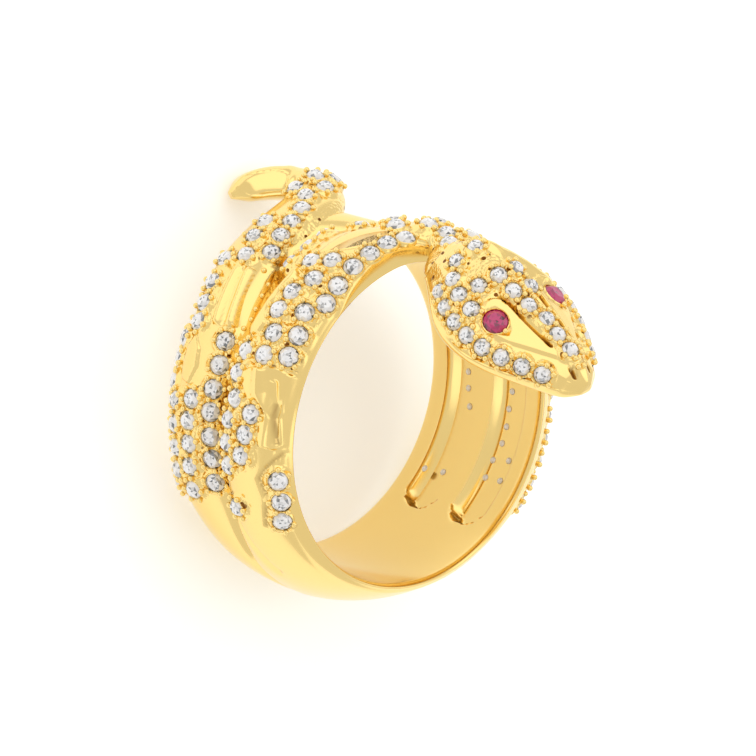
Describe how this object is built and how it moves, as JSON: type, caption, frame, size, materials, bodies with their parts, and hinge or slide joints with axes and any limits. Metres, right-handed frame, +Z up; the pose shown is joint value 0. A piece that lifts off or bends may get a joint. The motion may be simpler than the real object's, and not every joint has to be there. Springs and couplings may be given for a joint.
{
  "type": "snake wrap ring",
  "caption": "Cast finger ring in the form of a coiled snake: a hooded head lies in front of the band, the tail hooks back behind it, and rows of small round stones are set in the coils.",
  "frame": {"origin": "centre of the finger bore: on its axis, halfway along the band", "axes": "+Z up from the surface that the ring lies on, +Y towards the side where head and tail are, +X to the head's right; the bore's axis leans about 12 degrees from Z because the ring lies on the tip of its tail and on its far rim"},
  "size_m": [0.0217, 0.0231, 0.0234],
  "materials": {
    "gold": "polished yellow gold",
    "clear_stone": "faceted clear stone",
    "eye_stone": "faceted pink red stone"
  },
  "bodies": {
    "root": {"snake_band": "gold", "near_coil_stones": "clear_stone", "far_coil_stones": "clear_stone", "tail_stones": "clear_stone", "side_stones": "clear_stone", "head_stones": "clear_stone", "left_eye": "eye_stone", "right_eye": "eye_stone"}
  },
  "joints": []
}
